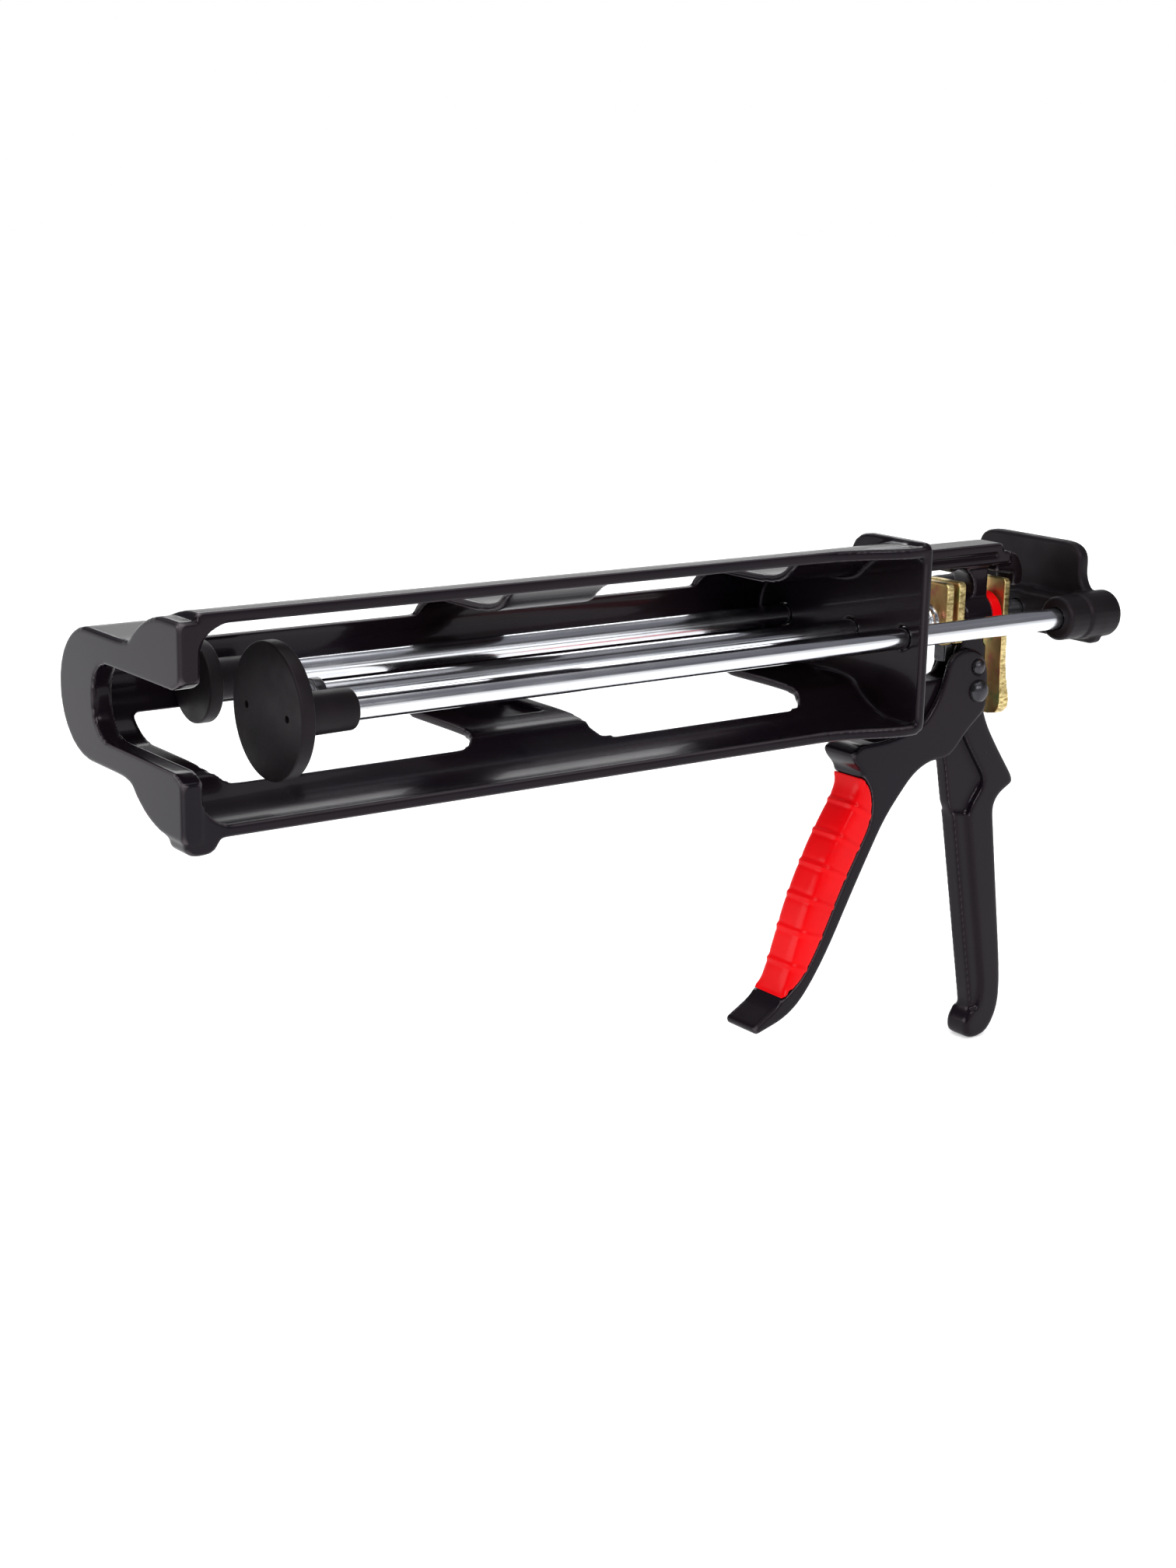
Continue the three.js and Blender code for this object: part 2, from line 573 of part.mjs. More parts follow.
// Side view of the stretch of the trigger that the red sleeve wraps.
function sleeveZone(grow) {
  return outline([
    [-60, -56 + grow], [2.5 + grow, -56 + grow, 1.5], [6.5 + grow, -60.5, 3], [8.2 + grow, -68, 4],
    [6.8 + grow, -76, 4], [-5.2 + grow, -96.5, 10], [-16.8 + grow, -120.6, 10],
    [-24 + grow, -131.5, 4], [-33 + grow, -138 - grow, 2], [-60, -138 - grow],
  ]);
}

// The far cheek is cut back in front of the pusher pin.
function triggerParts() {
  const outer = prismY(triggerProfile(0), ...bodyY(TRIGGER_HALF), 0.8, 4);
  const core = prismY(triggerProfile(SLEEVE_WALL), ...bodyY(TRIGGER_HALF - SLEEVE_WALL), 0, 4);
  const channel = outline([
    [9, -30], [9, -62, 4], [-3, -84, 6], [-13.5, -104, 6], [-21.5, -122, 3], [-14, -131],
    [5, -112], [28, -76], [75, -62], [75, 0], [9, 0],
  ]);
  const hollow = prismY(channel, ...bodyY(TRIGGER_HALF - CHEEK));
  const farNose = prismY(outline([
    [38, -5], [54, -5], [53.4, -19, 3], [50.5, -25, 4], [45, -30, 3], [38, -34.5], [34, -30],
  ]), BODY_Y + TRIGGER_HALF - CHEEK - 1, BODY_Y + TRIGGER_HALF + 1);
  const zone = prismY(sleeveZone(0), ...bodyY(TRIGGER_HALF + 2));
  const cleared = prismY(sleeveZone(GAP), ...bodyY(TRIGGER_HALF + 2));
  const grownCore = prismY(
    triggerProfile(SLEEVE_WALL - GAP), ...bodyY(TRIGGER_HALF - SLEEVE_WALL + GAP), 0, 4);
  const casting = cut(
    join(cut(outer, cleared), core.intersect(outer)), hollow, farNose,
    rodY(PIVOT.x, PIVOT.z, PIVOT.r + GAP, ...bodyY(20)),
    rodY(PUSHER.x, PUSHER.z, PUSHER.r + GAP, ...bodyY(20)),
  );
  const sleeve = cut(outer.intersect(zone), grownCore);
  return { casting, sleeve };
}

// A pin with a domed head on the near side; the far end takes a clip.
function pinWithHead({ x, z, r }, headR, headHeight) {
  const near = BODY_Y - TRIGGER_HALF;
  const far = BODY_Y + TRIGGER_HALF;
  const seat = near - GAP;
  return turned([
    [seat - headHeight, 0], [seat - headHeight, headR * 0.45], [seat - 0.7 * headHeight, headR * 0.85],
    [seat - 0.3 * headHeight, headR], [seat, headR], [seat, r], [far + 2, r], [far + 2.4, r - 0.4],
    [far + 2.4, 0],
  ], 'y', [x, 0, z]);
}

function pinClip({ x, z, r }, outer) {
  const y0 = BODY_Y + TRIGGER_HALF + GAP;
  const ring = [[y0, r + GAP], [y0, outer], [y0 + 0.9, outer], [y0 + 0.9, r + GAP]];
  return turned([...ring, ring[0]], 'y', [x, 0, z]);
}

// ---- assembly ---------------------------------------------------------------
addPiece('carriage_casting', carriage(), blackCoat);
addPiece('drive_body_casting', driveBody(), blackCoat);
BODY_SCREWS.forEach(([y, z], i) => addPiece(`body_screw_${i + 1}`, bodyScrew(y, z), darkSteel));

addPiece('large_push_rod', pushRod(ROD.large, LARGE_DISC.x + 3.2), brightZinc);
addPiece('drive_rod', pushRod(ROD.drive, DRIVE_ROD_FRONT), brightZinc);
addPiece('small_push_rod', pushRod(ROD.small, SMALL_DISC.x + 3.2), brightZinc);
addPiece('large_piston_disc', largeDisc(), blackPlastic);
addPiece('small_piston_disc', pistonDisc(SMALL_DISC, ROD.small), blackPlastic);
addPiece('drive_rod_stop', driveRodStop(), darkSteel);
addPiece('yoke', yoke(), blackPlastic);
addPiece('yoke_screw_large', yokeScrew(ROD.large, BARREL_BACK), darkSteel);
addPiece('yoke_screw_drive', yokeScrew(ROD.drive, SOCKET_BACK), darkSteel);
addPiece('yoke_screw_small', yokeScrew(ROD.small, BARREL_BACK), darkSteel);

GRIP_PLATES.x.forEach((x, i) => addPiece(`grip_plate_${i + 1}`, gripPlate(x), yellowZinc));
addPiece('drive_lug', driveLug(), darkSteel);
addPiece('main_spring', spring(
  MAIN_SPRING, BODY_FRONT + BACK_PLATE + GAP, GRIP_PLATES.x[0] - GAP), brightZinc);
addPiece('brake_spring_cup', springCup(), redPlastic);
addPiece('brake_spring', spring(BRAKE_SPRING, BOSS.x1 + 1 + 2 * GAP, RELEASE.x - GAP), brightZinc);
addPiece('release_plate', releasePlate(), yellowZinc);
addPiece('drive_dog', driveDog(), darkSteel);

const { casting, sleeve } = triggerParts();
addPiece('trigger_casting', casting, blackCoat);
addPiece('trigger_grip_sleeve', sleeve, redPlastic);
addPiece('pivot_pin', pinWithHead(PIVOT, 4.5, 3), darkSteel);
addPiece('pivot_pin_clip', pinClip(PIVOT, 5), darkSteel);
addPiece('pusher_pin', pinWithHead(PUSHER, 3, 2), darkSteel);
addPiece('pusher_pin_clip', pinClip(PUSHER, 4.2), darkSteel);

export default gun;
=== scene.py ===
"""Looks of a side-by-side two-cartridge caulking gun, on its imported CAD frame.

Metres, +Z up. X runs along the push rods, towards the yoke at the back, and -Y is
the side that cartridges are loaded from. Each piece's place and outer size come from
the frame. Smaller sizes, such as rounded edges, are named here.
"""
import json
import math

import bmesh
import bpy
from mathutils import Matrix, Vector
from mathutils.kdtree import KDTree


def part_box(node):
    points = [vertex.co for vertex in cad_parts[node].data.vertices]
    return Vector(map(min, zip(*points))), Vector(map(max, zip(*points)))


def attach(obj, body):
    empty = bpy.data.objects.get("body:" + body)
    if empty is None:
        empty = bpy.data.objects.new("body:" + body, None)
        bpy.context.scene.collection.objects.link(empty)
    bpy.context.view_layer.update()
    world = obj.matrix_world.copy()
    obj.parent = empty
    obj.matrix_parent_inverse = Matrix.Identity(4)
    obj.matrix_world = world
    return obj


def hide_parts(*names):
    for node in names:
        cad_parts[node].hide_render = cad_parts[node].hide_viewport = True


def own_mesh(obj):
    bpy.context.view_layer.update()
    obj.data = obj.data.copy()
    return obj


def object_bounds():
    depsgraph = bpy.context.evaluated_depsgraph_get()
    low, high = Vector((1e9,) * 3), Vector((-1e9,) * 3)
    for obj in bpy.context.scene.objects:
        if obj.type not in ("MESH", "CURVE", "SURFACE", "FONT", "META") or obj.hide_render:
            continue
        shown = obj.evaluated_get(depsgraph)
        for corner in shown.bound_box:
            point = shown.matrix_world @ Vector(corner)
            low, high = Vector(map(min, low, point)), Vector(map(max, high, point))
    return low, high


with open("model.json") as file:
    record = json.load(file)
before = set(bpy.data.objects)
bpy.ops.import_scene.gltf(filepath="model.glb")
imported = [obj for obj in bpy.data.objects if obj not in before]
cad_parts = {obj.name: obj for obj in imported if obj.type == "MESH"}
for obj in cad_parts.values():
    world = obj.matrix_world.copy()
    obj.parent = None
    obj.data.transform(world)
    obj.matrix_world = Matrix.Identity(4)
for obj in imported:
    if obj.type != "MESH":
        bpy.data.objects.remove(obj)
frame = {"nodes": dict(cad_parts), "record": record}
cad_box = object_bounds()

MM = 0.001
ROD_R = 4 * MM
FIT = 0.3 * MM              # the gap round a rod in a bore
BEVEL = 0.3 * MM
CAMERA = {"place": (-0.6037, -0.6733, 0.1613), "azimuth": 36.84, "elevation": 14.23,
          "roll": 1.28, "lens": 54.93, "shift": (-0.0105, 0.0021)}
GUN_CENTRE = (-0.1, 0, 0)
SUN = {"energy": 1.25, "place": (-0.1, 0, 2), "angle": math.radians(60)}
PANELS = {                  # name: energy, place, width, height
    "left_panel": (8, (-1.5, 0.75, 0.3), 0.9, 0.6),
    "front_panel": (14, (-0.3, -1.5, 0.95), 1.5, 0.35),
    "edge_strip": (9, (-0.95, -0.95, 1.25), 1.3, 0.1),
    "back_panel": (7, (0.7, 1.3, 0.8), 1.2, 0.6),
}
SKY = [(0.12, (1.0, 1.0, 1.0)), (0.25, (0.14, 0.14, 0.16)), (1.0, (0.24, 0.24, 0.26))]
FLOOR_HALF = 12
FLOOR_GAP = 0.2 * MM        # how far the floor is below the gun


# ---- camera, light and floor ---------------------------------------------------
def add_camera():
    azimuth, elevation, roll = (
        math.radians(CAMERA[name]) for name in ("azimuth", "elevation", "roll"))
    level = Matrix.Rotation(-azimuth, 4, "Z") @ Matrix.Rotation(math.pi / 2 - elevation, 4, "X")
    data = bpy.data.cameras.new("camera")
    data.lens = CAMERA["lens"]
    data.shift_x, data.shift_y = CAMERA["shift"]
    data.clip_end = 50
    camera = bpy.data.objects.new("camera", data)
    camera.matrix_world = (
        Matrix.Translation(CAMERA["place"]) @ level @ Matrix.Rotation(roll, 4, "Z"))
    bpy.context.scene.collection.objects.link(camera)
    bpy.context.scene.camera = camera


def add_light(name, kind, energy, place, **settings):
    """A light that points at the middle of the gun."""
    data = bpy.data.lights.new(name, kind)
    data.energy = energy
    for key, value in settings.items():
        setattr(data, key, value)
    light = bpy.data.objects.new(name, data)
    light.location = place
    aim = Vector(GUN_CENTRE) - Vector(place)
    light.rotation_euler = aim.to_track_quat("-Z", "Y").to_euler()
    bpy.context.scene.collection.objects.link(light)


def add_studio():
    add_light("overhead", "SUN", SUN["energy"], SUN["place"], angle=SUN["angle"])
    for name, (energy, place, width, height) in PANELS.items():
        add_light(name, "AREA", energy, place, shape="RECTANGLE", size=width, size_y=height)
    add_world()
    bpy.context.scene.view_settings.view_transform = "Standard"


def fill_ramp(node, stops):
    """Gives a colour ramp its (position, colour) stops."""
    elements = node.color_ramp.elements
    while len(elements) < len(stops):
        elements.new(0.5)
    for element, (position, colour) in zip(elements, stops):
        element.position = position
        element.color = (*colour, 1)


def add_world():
    """A white horizon under a dimmer sky, so that the dark parts keep their depth."""
    world = bpy.data.worlds.new("studio")
    world.use_nodes = True
    tree = world.node_tree
    place = tree.nodes.new("ShaderNodeTexCoord")
    split = tree.nodes.new("ShaderNodeSeparateXYZ")
    ramp = tree.nodes.new("ShaderNodeValToRGB")
    fill_ramp(ramp, SKY)
    tree.links.new(place.outputs["Generated"], split.inputs["Vector"])
    tree.links.new(split.outputs["Z"], ramp.inputs["Fac"])
    tree.links.new(ramp.outputs["Color"], tree.nodes["Background"].inputs["Color"])
    bpy.context.scene.world = world


def add_floor(material):
    mesh = bpy.data.meshes.new("floor")
    level = cad_box[0][2] - FLOOR_GAP
    corners = [(x * FLOOR_HALF, y * FLOOR_HALF, level)
               for x, y in ((-1, -1), (1, -1), (1, 1), (-1, 1))]
    mesh.from_pydata(corners, [], [(0, 1, 2, 3)])
    mesh.materials.append(material)
    floor = bpy.data.objects.new("floor", mesh)
    bpy.context.scene.collection.objects.link(floor)


# ---- materials -------------------------------------------------------------------
class Shader:
    """A node material in the making: short ways to add the nodes that it needs."""

    def __init__(self, name, **constants):
        self.material = bpy.data.materials.new(name)
        self.material.use_nodes = True
        self.tree = self.material.node_tree
        self.bsdf = self.tree.nodes["Principled BSDF"]
        for socket, value in constants.items():
            self.bsdf.inputs[socket.replace("_", " ")].default_value = value
        self.coordinates = self.tree.nodes.new("ShaderNodeTexCoord").outputs["Object"]

    def link(self, output, target):
        if isinstance(target, str):
            target = self.bsdf.inputs[target]
        self.tree.links.new(output, target)

    def stretched(self, x, y, z):
        node = self.tree.nodes.new("ShaderNodeMapping")
        node.inputs["Scale"].default_value = (x, y, z)
        self.link(self.coordinates, node.inputs["Vector"])
        return node.outputs["Vector"]

    def noise(self, scale, detail=3, vector=None, roughness=0.5):
        node = self.tree.nodes.new("ShaderNodeTexNoise")
        node.inputs["Scale"].default_value = scale
        node.inputs["Detail"].default_value = detail
        node.inputs["Roughness"].default_value = roughness
        self.link(vector or self.coordinates, node.inputs["Vector"])
        return node.outputs["Fac"]

    def cells(self, scale, vector=None):
        node = self.tree.nodes.new("ShaderNodeTexVoronoi")
        node.inputs["Scale"].default_value = scale
        self.link(vector or self.coordinates, node.inputs["Vector"])
        return node.outputs["Distance"]

    def ramp(self, value, *stops):
        node = self.tree.nodes.new("ShaderNodeValToRGB")
        fill_ramp(node, stops)
        self.link(value, node.inputs["Fac"])
        return node.outputs["Color"]

    def span(self, value, low, high, to_low, to_high):
        node = self.tree.nodes.new("ShaderNodeMapRange")
        for socket, number in zip(("From Min", "From Max", "To Min", "To Max"),
                                  (low, high, to_low, to_high)):
            node.inputs[socket].default_value = number
        self.link(value, node.inputs["Value"])
        return node.outputs["Result"]

    def math(self, operation, first, second):
        node = self.tree.nodes.new("ShaderNodeMath")
        node.operation = operation
        for socket, value in zip(node.inputs, (first, second)):
            if isinstance(value, (int, float)):
                socket.default_value = value
            else:
                self.link(value, socket)
        return node.outputs["Value"]

    def mix(self, factor, first, second):
        node = self.tree.nodes.new("ShaderNodeMix")
        node.data_type = "RGBA"
        for socket, value in zip((node.inputs[0], node.inputs[6], node.inputs[7]),
                                 (factor, first, second)):
            if isinstance(value, tuple):
                socket.default_value = (*value, 1)
            else:
                self.link(value, socket)
        return node.outputs[2]

    def bump(self, *layers):
        """Each layer is (height output, strength, distance in metres)."""
        normal = None
        for height, strength, distance in layers:
            node = self.tree.nodes.new("ShaderNodeBump")
            node.inputs["Strength"].default_value = strength
            node.inputs["Distance"].default_value = distance
            self.link(height, node.inputs["Height"])
            if normal:
                self.link(normal, node.inputs["Normal"])
            normal = node.outputs["Normal"]
        self.link(normal, "Normal")

    def geometry(self, output):
        return self.tree.nodes.new("ShaderNodeNewGeometry").outputs[output]

    def component(self, vector, name):
        node = self.tree.nodes.new("ShaderNodeSeparateXYZ")
        self.link(vector, node.inputs["Vector"])
        return node.outputs[name]


def black_coat():
    """Semi-gloss black coating: a purple-brown cast, fine orange peel, and convex edges lightened as
    rubbed wear plus a painted highlight.
    """
    s = Shader(
        "black_coat", Specular_IOR_Level=0.09, Specular_Tint=(1.0, 0.88, 1.0, 1), Coat_Weight=0.09,
        Coat_Roughness=0.05)
    cast = s.noise(14, 3)
    base = s.ramp(cast, (0.35, (0.0038, 0.0028, 0.0052)), (0.65, (0.0066, 0.0040, 0.0052)))
    # painted highlight and wear: convex edges are lightened in the base colour, standing in for
    # gloss glints along them as well as rubbed paint
    edge = s.span(s.geometry("Pointiness"), 0.525, 0.59, 0, 0.85)
    rubbed_and_highlit = s.mix(edge, base, (0.20, 0.18, 0.19))
    dust = s.span(s.cells(150), 0.0, 0.028, 0.45, 0)
    s.link(s.mix(dust, rubbed_and_highlit, (0.2, 0.18, 0.17)), "Base Color")
    s.link(s.span(s.noise(40, 3), 0.3, 0.7, 0.19, 0.25), "Roughness")
    s.bump((s.noise(1100, 2), 0.025, 0.2 * MM), (s.noise(160, 2), 0.01, 0.5 * MM))
    return s.material


def black_plastic():
    """Moulded black plastic, satin, with faint mottling and handling marks."""
    s = Shader("black_plastic", Specular_IOR_Level=0.12, Specular_Tint=(1.0, 0.9, 1.0, 1))
    base = s.ramp(s.noise(70, 4), (0.3, (0.0044, 0.0034, 0.0042)), (0.7, (0.0080, 0.0062, 0.0070)))
    scuff = s.span(s.noise(40, 8, s.stretched(1, 6, 1), 0.75), 0.62, 0.74, 0, 0.14)
    s.link(s.mix(scuff, base, (0.05, 0.047, 0.05)), "Base Color")
    s.link(s.span(s.noise(120, 4), 0.3, 0.7, 0.40, 0.54), "Roughness")
    s.bump((s.noise(1500, 2), 0.18, 0.15 * MM), (s.noise(150, 2), 0.06, 0.4 * MM))
    return s.material


def red_plastic():
    """Soft red plastic, darker in patches in its low places, with fine scuffs."""
    s = Shader("red_plastic", Specular_IOR_Level=0.06, Coat_Weight=0.08, Coat_Roughness=0.12)
    s.bsdf.inputs["Subsurface Weight"].default_value = 0.05
    s.bsdf.inputs["Subsurface Scale"].default_value = 1.5 * MM
    s.bsdf.inputs["Subsurface Radius"].default_value = (1.0, 0.15, 0.1)
    base = s.ramp(s.noise(45, 3), (0.3, (0.64, 0.0008, 0.0025)), (0.7, (0.74, 0.0016, 0.004)))
    # the base colour is darkened in patches where the surface is hollow, by pointiness and noise
    hollow = s.span(s.geometry("Pointiness"), 0.49, 0.45, 0, 1)
    hollow_darkening = s.math("MULTIPLY", hollow, s.span(s.noise(130, 5), 0.42, 0.68, 0.0, 0.8))
    smear = s.span(s.noise(55, 6, s.stretched(1, 0.5, 1.6), 0.7), 0.63, 0.75, 0, 0.35)
    marked = s.mix(smear, s.mix(hollow_darkening, base, (0.12, 0.015, 0.012)), (0.33, 0.012, 0.014))
    s.link(marked, "Base Color")
    s.link(s.span(s.noise(160, 4), 0.3, 0.7, 0.3, 0.42), "Roughness")
    s.bump((s.noise(1300, 2), 0.10, 0.15 * MM), (s.noise(220, 2), 0.05, 0.3 * MM))
    return s.material


def bright_zinc():
    """Drawn steel rod with bright zinc: faint streaks along it, fine specks and smudges."""
    s = Shader("bright_zinc", Metallic=1.0, Anisotropic=0.3)
    streaks = s.noise(7, 4, s.stretched(1.2, 120, 120), 0.6)
    smudge = s.noise(30, 4)
    base = s.ramp(streaks, (0.3, (0.63, 0.65, 0.69)), (0.7, (0.80, 0.81, 0.83)))
    dull = s.span(smudge, 0.52, 0.74, 0, 0.35)
    toned = s.mix(dull, base, (0.52, 0.53, 0.57))
    pits = s.span(s.cells(620, s.stretched(0.5, 1, 1)), 0.0, 0.10, 0.5, 0)
    s.link(s.mix(pits, toned, (0.22, 0.22, 0.25)), "Base Color")
    rough = s.math("ADD", s.span(streaks, 0.3, 0.7, 0.12, 0.18), s.span(smudge, 0.45, 0.75, 0, 0.14))
    s.link(rough, "Roughness")
    s.bump((streaks, 0.02, 0.1 * MM), (s.cells(420), 0.04, 0.06 * MM))
    return s.material


def yellow_zinc():
    """Yellow zinc passivate: gold-brown with green and rose patches, and sheared edges."""
    s = Shader("yellow_zinc", Metallic=1.0)
    tint = s.noise(75, 3, roughness=0.6)
    base = s.ramp(
        tint, (0.34, (0.30, 0.36, 0.13)), (0.44, (0.60, 0.42, 0.17)), (0.55, (0.58, 0.33, 0.13)),
        (0.65, (0.56, 0.20, 0.14)))
    flat = s.math("ABSOLUTE", s.component(s.geometry("Normal"), "X"), 0)
    cut_edge = s.span(flat, 0.75, 0.55, 0, 1)
    grain = s.noise(900, 4, s.stretched(0.35, 1, 1), 0.7)
    sheared = s.ramp(grain, (0.38, (0.28, 0.20, 0.07)), (0.62, (0.80, 0.66, 0.32)))
    s.link(s.mix(cut_edge, base, sheared), "Base Color")
    s.link(s.span(s.noise(200, 4), 0.3, 0.7, 0.36, 0.52), "Roughness")
    roughened = s.math("MULTIPLY", grain, cut_edge)
    s.bump((roughened, 0.5, 0.15 * MM), (s.noise(500, 3), 0.07, 0.1 * MM))
    return s.material


def dark_steel():
    """Black-oxide steel fasteners with bright wear on their edges."""
    s = Shader("dark_steel", Metallic=0.8)
    base = s.ramp(s.noise(240, 4), (0.3, (0.028, 0.027, 0.031)), (0.7, (0.055, 0.052, 0.058)))
    edge = s.span(s.geometry("Pointiness"), 0.52, 0.60, 0, 0.7)
    s.link(s.mix(edge, base, (0.34, 0.34, 0.36)), "Base Color")
    s.link(s.span(s.noise(320, 4), 0.3, 0.7, 0.22, 0.36), "Roughness")
    s.bump((s.noise(1200, 3), 0.10, 0.1 * MM))
    return s.material


def pale_floor():
    s = Shader("pale_floor", Roughness=0.9, Specular_IOR_Level=0.0, Emission_Strength=0.46)
    s.bsdf.inputs["Emission Color"].default_value = (1, 1, 1, 1)
    s.link(s.ramp(s.noise(3, 2), (0.3, (0.90, 0.90, 0.90)), (0.7, (0.93, 0.93, 0.93))), "Base Color")
    return s.material


MATERIALS = {
    "black_coat": black_coat(),
    "black_plastic": black_plastic(),
    "red_plastic": red_plastic(),
    "bright_zinc": bright_zinc(),
    "yellow_zinc": yellow_zinc(),
    "dark_steel": dark_steel(),
}


# ---- ways to make a piece ------------------------------------------------------------
SLOT_OF = {part["node"]: part["material_slot"] for part in frame["record"]["subparts"]}
BODY_OF = {
    node: body for body, nodes in frame["record"]["behaviour"]["bodies"].items() for node in nodes
}


def middle(node):
    low, high = (Vector(corner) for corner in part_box(node))
    return (low + high) / 2


def finish_piece(piece, node, sharp=35):
    """Gives the piece its node's body and finish, and hides the node."""
    slot = SLOT_OF[node]
    piece.data.materials.clear()
    piece.data.materials.append(MATERIALS[slot])
    piece.data.shade_smooth()
    piece.data.set_sharp_from_angle(angle=math.radians(sharp))
    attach(piece, BODY_OF[node])
    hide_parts(node)


def mesh_object(name, mesh):
    piece = bpy.data.objects.new(name, mesh)
    bpy.context.scene.collection.objects.link(piece)
    return piece


def applied(piece):
    """The piece with its modifiers made part of its mesh."""
    evaluated = piece.evaluated_get(bpy.context.evaluated_depsgraph_get())
    mesh = bpy.data.meshes.new_from_object(evaluated)
    piece.modifiers.clear()
    old = piece.data
    piece.data = mesh
    bpy.data.meshes.remove(old)
    return piece


def cast(node, voxel, passes):
    """One skin over the node, with its edges rounded as on a casting."""
    piece = mesh_object(f"{node}_skin", frame["nodes"][node].data.copy())
    remesh = piece.modifiers.new("remesh", "REMESH")
    remesh.mode = "VOXEL"
    remesh.voxel_size = voxel
    smooth = piece.modifiers.new("smooth", "SMOOTH")
    smooth.factor = 0.5
    smooth.iterations = passes
    return applied(piece)


def turned_mesh(name, profile, axis, centre, segments=96, closed=False):
    """A turned mesh: profile of (distance along the axis, radius) pairs."""
    turns = [2 * math.pi * i / segments for i in range(segments)]
    to_axis = {"x": lambda a, u, v: (a, u, v), "y": lambda a, u, v: (v, a, u)}[axis]
    shape = bmesh.new()
    rings = []
    for along, radius in profile:
        spots = turns if radius > 0 else [0]
        rings.append([
            shape.verts.new(Vector(centre) + Vector(
                to_axis(along, radius * math.cos(t), radius * math.sin(t))))
            for t in spots])
    pairs = list(zip(rings, rings[1:] + rings[:1])) if closed else list(zip(rings, rings[1:]))
    for first, second in pairs:
        for i in range(segments):
            j = (i + 1) % segments
            corners = [first[i % len(first)], first[j % len(first)],
                       second[j % len(second)], second[i % len(second)]]
            shape.faces.new(list(dict.fromkeys(corners)))
    bmesh.ops.recalc_face_normals(shape, faces=shape.faces)
    mesh = bpy.data.meshes.new(name)
    shape.to_mesh(mesh)
    shape.free()
    return mesh


def turned(name, *args, **kwargs):
    return mesh_object(name, turned_mesh(name, *args, **kwargs))


def hex_prism(centre, radius, x0, x1):
    return turned("cutter", [(x0, 0), (x0, radius), (x1, radius), (x1, 0)], "x", centre, segments=6)


def cut_away(piece, cutters):
    for cutter in cutters:
        boolean = piece.modifiers.new("cut", "BOOLEAN")
        boolean.operation = "DIFFERENCE"
        boolean.solver = "EXACT"
        boolean.object = cutter
    applied(piece)
    for cutter in cutters:
        bpy.data.objects.remove(cutter)
    return piece


def rounded(profile_corner, radius, start, end, steps=5):
    """Points of a quarter turn that rounds one corner of a turned profile."""
    along, rim = profile_corner
    points = []
    for i in range(steps + 1):
        angle = math.radians(start + (end - start) * i / steps)
        points.append((along + radius * math.cos(angle), rim + radius * math.sin(angle)))
    return points


# ---- castings ------------------------------------------------------------------------
def soften(piece, passes, weight_of):
    """Smooths the piece, as much as weight_of says at each vertex."""
    group = piece.vertex_groups.new(name="soft")
    for vertex in piece.data.vertices:
        weight = min(1, weight_of(vertex.co))
        if weight > 0:
            group.add([vertex.index], weight, "REPLACE")
    smooth = piece.modifiers.new("soften", "SMOOTH")
    smooth.vertex_group = group.name
    smooth.iterations = passes
    return applied(piece)


SKINS = {                   # node: voxel size, smoothing passes
    "carriage_casting": (0.75 * MM, 6),
    "drive_body_casting": (0.55 * MM, 6),
    "trigger_casting": (0.55 * MM, 6),
    "drive_dog": (0.4 * MM, 3),
}
HANDLE_TOP = -40 * MM       # the handle is rounder than the block above this level
HANDLE_BLEND = 6 * MM
HANDLE_PASSES = 16


def handle_weight(spot):
    return (HANDLE_TOP - spot.z) / HANDLE_BLEND


def add_castings():
    for node, (voxel, passes) in SKINS.items():
        skin = cast(node, voxel, passes)
        if node == "drive_body_casting":
            soften(skin, HANDLE_PASSES, handle_weight)
        finish_piece(skin, node, sharp=60)


# ---- red grip sleeve -----------------------------------------------------------------
class FrontLine:
    """The front edge of the trigger in side view, as short straight steps."""

    def __init__(self, node, steps=60):
        mesh = frame["nodes"][node].data
        low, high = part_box(node)
        self.points = []
        for i in range(steps + 1):
            level = low[2] + (high[2] - low[2]) * i / steps
            self.points.append(Vector((self.front_at(mesh, level), level)))

    @staticmethod
    def front_at(mesh, level):
        """The lowest x where the mesh's edges cross this level."""
        crossings = []
        for edge in mesh.edges:
            a, b = (mesh.vertices[i].co for i in edge.vertices)
            if (a.z - level) * (b.z - level) <= 0 and a.z != b.z:
                crossings.append(a.x + (b.x - a.x) * (level - a.z) / (b.z - a.z))
        return min(crossings)

    def nearest(self, x, z):
        """How far along the line a point in side view is, and how deep behind it."""
        spot = Vector((x, z))
        best = None
        travelled = 0
        for a, b in zip(self.points, self.points[1:]):
            step = b - a
            share = max(0, min(1, (spot - a).dot(step) / step.length_squared))
            depth = (spot - a - step * share).length
            if best is None or depth < best[1]:
                best = (travelled + share * step.length, depth)
            travelled += step.length
        return best


RIBS = {"count": 6, "first": 13.0 * MM, "pitch": 13.15 * MM, "height": 0.4 * MM, "half": 0.85 * MM}
SOFT_EDGE = 10 * MM         # how far the rounding of the sleeve's front edges reaches
SOFT_PASSES = 200
SKIN_DEPTH = 1.3 * MM       # the ribs rise only from a surface as close as this to a front or side


def rib_height(along):
    """A low rounded ring at each rib, with a faint hollow on either side of it."""
    nearest = round((along - RIBS["first"]) / RIBS["pitch"])
    nearest = max(0, min(RIBS["count"] - 1, nearest))
    off = (along - RIBS["first"] - nearest * RIBS["pitch"]) / RIBS["half"]
    return RIBS["height"] * (math.exp(-off * off) - 0.3 * math.exp(-(abs(off) - 2.1) ** 2))


def tree_of(spots):
    tree = KDTree(len(spots))
    for i, spot in enumerate(spots):
        tree.insert(spot, i)
    tree.balance()
    return tree


